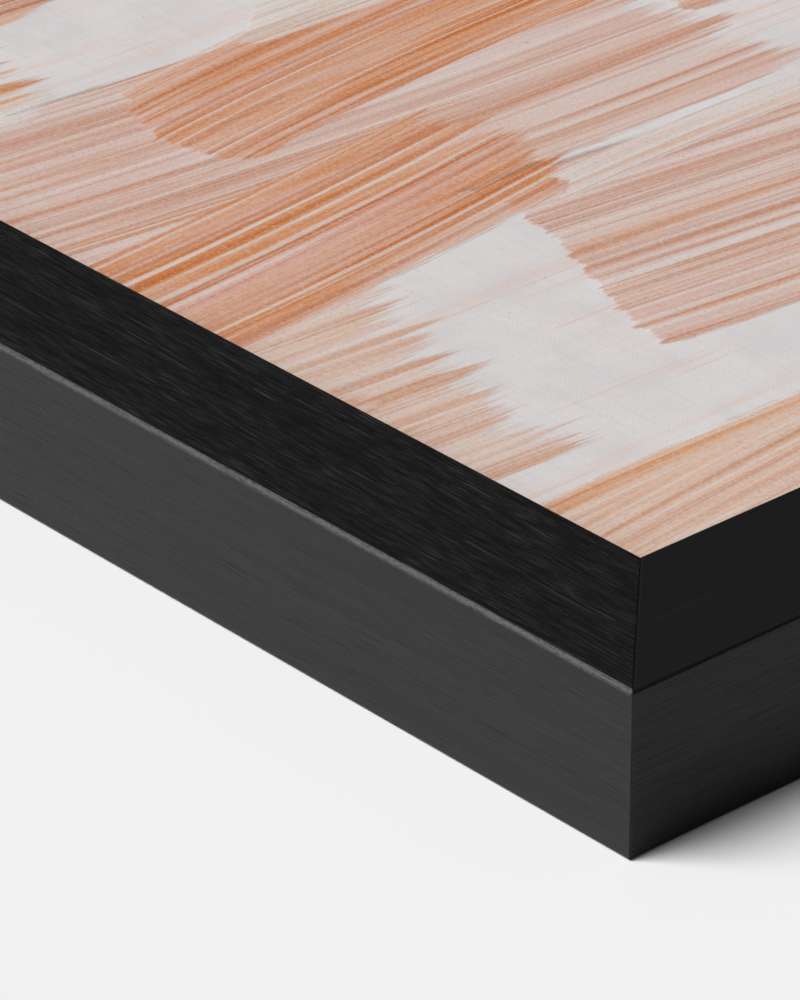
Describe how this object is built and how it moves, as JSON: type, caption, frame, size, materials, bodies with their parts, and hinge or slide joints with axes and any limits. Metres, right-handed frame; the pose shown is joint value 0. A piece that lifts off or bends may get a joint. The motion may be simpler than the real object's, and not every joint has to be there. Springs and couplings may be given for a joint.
{
  "type": "framed stretched canvas",
  "caption": "Landscape painting on primed canvas, stapled over keyed stretcher bars and held in a square-section black wooden frame with mitred corners and D-ring hangers",
  "frame": {"origin": "middle of the back of the frame, on the surface that it lies on", "axes": "+X along the long side, +Y up the picture as it hangs, +Z out of the painted face"},
  "size_m": [0.55, 0.45, 0.03],
  "materials": {
    "ebonised_oak": "black stain over open straight grain, satin",
    "stretcher_pine": "planed and bare",
    "key_beech": "sawn and bare",
    "painted_canvas": "primed cotton under dragged acrylic paint, matte",
    "joiner_steel": "bright",
    "point_steel": "bright",
    "staple_wire": "galvanised",
    "hanger_plate": "nickel plated",
    "hanger_wire": "nickel plated",
    "screw_steel": "zinc plated"
  },
  "bodies": {
    "picture": {"frame_rail_bottom": "ebonised_oak", "frame_rail_right": "ebonised_oak", "frame_rail_top": "ebonised_oak", "frame_rail_left": "ebonised_oak", "stretcher_bar_bottom": "stretcher_pine", "stretcher_bar_right": "stretcher_pine", "stretcher_bar_top": "stretcher_pine", "stretcher_bar_left": "stretcher_pine", "canvas_face": "painted_canvas", "canvas_turned_edge": "painted_canvas", "frame_joiners": "joiner_steel", "framing_points": "point_steel", "canvas_staples": "staple_wire", "hanger_strap_left": "hanger_plate", "hanger_strap_right": "hanger_plate", "hanger_screws": "screw_steel"},
    "key_bottom_right": {"corner_key_bottom_right": "key_beech"},
    "key_bottom_left": {"corner_key_bottom_left": "key_beech"},
    "key_right_top": {"corner_key_right_top": "key_beech"},
    "key_right_bottom": {"corner_key_right_bottom": "key_beech"},
    "key_top_left": {"corner_key_top_left": "key_beech"},
    "key_top_right": {"corner_key_top_right": "key_beech"},
    "key_left_bottom": {"corner_key_left_bottom": "key_beech"},
    "key_left_top": {"corner_key_left_top": "key_beech"},
    "ring_left": {"hanger_ring_left": "hanger_wire"},
    "ring_right": {"hanger_ring_right": "hanger_wire"}
  },
  "joints": [
    {"name": "key_bottom_right_slide", "type": "slide", "parent": "picture", "child": "key_bottom_right", "axis": [0, 1, 0], "range_m": [0, 0.02]},
    {"name": "key_bottom_left_slide", "type": "slide", "parent": "picture", "child": "key_bottom_left", "axis": [0, 1, 0], "range_m": [0, 0.02]},
    {"name": "key_right_top_slide", "type": "slide", "parent": "picture", "child": "key_right_top", "axis": [-1, 0, 0], "range_m": [0, 0.02]},
    {"name": "key_right_bottom_slide", "type": "slide", "parent": "picture", "child": "key_right_bottom", "axis": [-1, 0, 0], "range_m": [0, 0.02]},
    {"name": "key_top_left_slide", "type": "slide", "parent": "picture", "child": "key_top_left", "axis": [0, -1, 0], "range_m": [0, 0.02]},
    {"name": "key_top_right_slide", "type": "slide", "parent": "picture", "child": "key_top_right", "axis": [0, -1, 0], "range_m": [0, 0.02]},
    {"name": "key_left_bottom_slide", "type": "slide", "parent": "picture", "child": "key_left_bottom", "axis": [1, 0, 0], "range_m": [0, 0.02]},
    {"name": "key_left_top_slide", "type": "slide", "parent": "picture", "child": "key_left_top", "axis": [1, 0, 0], "range_m": [0, 0.02]},
    {"name": "ring_left_hinge", "type": "hinge", "parent": "picture", "child": "ring_left", "pos_m": [-0.2215, 0.067, 0.00462], "axis": [-1, 0, 0], "range_deg": [0, 165]},
    {"name": "ring_right_hinge", "type": "hinge", "parent": "picture", "child": "ring_right", "pos_m": [0.2215, 0.067, 0.00462], "axis": [-1, 0, 0], "range_deg": [0, 165]}
  ]
}
